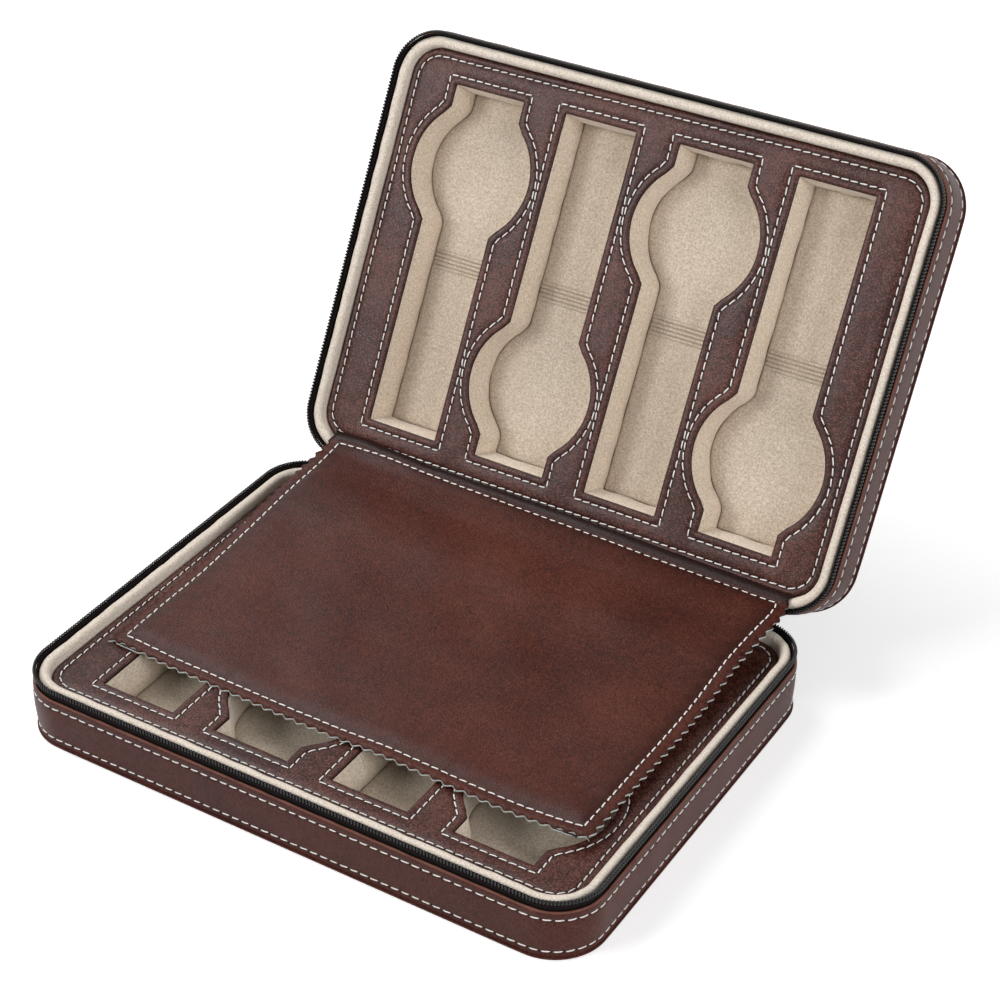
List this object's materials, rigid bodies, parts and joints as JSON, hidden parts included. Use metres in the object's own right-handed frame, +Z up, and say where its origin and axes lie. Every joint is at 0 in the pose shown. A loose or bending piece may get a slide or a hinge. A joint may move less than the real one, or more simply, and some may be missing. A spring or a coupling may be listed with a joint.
{
  "type": "zippered watch travel case",
  "caption": "Zippered leatherette travel case: two hinged trays with velvet-lined watch wells and a padded flap between them.",
  "frame": {"origin": "centre of the lower tray's underside", "axes": "+Z up from the underside, +X along the fold line, -Y towards the front edge; stored with the lid 118.4 degrees open and the flap down"},
  "size_m": [0.258, 0.3105, 0.1976],
  "materials": {
    "leatherette": "semi-gloss grained leatherette, red-brown",
    "face_leatherette": "satin grained leatherette, dark brown",
    "velvet": "beige velvet",
    "suede": "grey-green suede backing",
    "foam": "foam, hidden",
    "board": "greyboard, hidden",
    "tape": "woven black tape",
    "coil": "black nylon coil",
    "zip_metal": "dark plated zinc"
  },
  "bodies": {
    "base": {"base_outer_panel": "leatherette", "base_panel_board": "board", "base_side_band": "leatherette", "base_side_board": "board", "base_zip_tape": "tape", "base_zip_coil": "coil", "base_rim_board": "board", "base_rim_velvet": "velvet", "base_foam_insert": "foam", "base_face_leather": "face_leatherette", "base_spine_strip": "leatherette", "base_well_lining_1": "velvet", "base_well_lining_2": "velvet", "base_well_lining_3": "velvet", "base_well_lining_4": "velvet", "base_well_pad_1": "velvet", "base_well_pad_2": "velvet", "base_well_pad_3": "velvet", "base_well_pad_4": "velvet", "fold_bead": "leatherette", "left_slider": "zip_metal", "right_slider": "zip_metal"},
    "flap": {"flap_face": "leatherette", "flap_padding": "foam", "flap_backing": "suede"},
    "lid": {"lid_outer_panel": "leatherette", "lid_panel_board": "board", "lid_side_band": "leatherette", "lid_side_board": "board", "lid_zip_tape": "tape", "lid_zip_coil": "coil", "lid_rim_board": "board", "lid_rim_velvet": "velvet", "lid_foam_insert": "foam", "lid_face_leather": "face_leatherette", "lid_spine_strip": "leatherette", "lid_well_lining_1": "velvet", "lid_well_lining_2": "velvet", "lid_well_lining_3": "velvet", "lid_well_lining_4": "velvet", "lid_well_pad_1": "velvet", "lid_well_pad_2": "velvet", "lid_well_pad_3": "velvet", "lid_well_pad_4": "velvet", "flap_hem": "leatherette"},
    "left_pull": {"left_pull": "zip_metal"},
    "right_pull": {"right_pull": "zip_metal"}
  },
  "joints": [
    {"name": "flap_turn", "type": "hinge", "parent": "base", "child": "flap", "pos_m": [0, 0.0968, 0.0285], "axis": [-1, 0, 0], "range_deg": [0, 61.6]},
    {"name": "lid_hinge", "type": "hinge", "parent": "flap", "child": "lid", "pos_m": [0, 0.0968, 0.0285], "axis": [-1, 0, 0], "range_deg": [-118.4, 0]},
    {"name": "left_pull_swing", "type": "hinge", "parent": "base", "child": "left_pull", "pos_m": [-0.0991, 0.0975, 0.0285], "axis": [0, 0, -1], "range_deg": [0, 30]},
    {"name": "right_pull_swing", "type": "hinge", "parent": "base", "child": "right_pull", "pos_m": [0.0991, 0.0975, 0.0285], "axis": [0, 0, 1], "range_deg": [0, 30]}
  ]
}
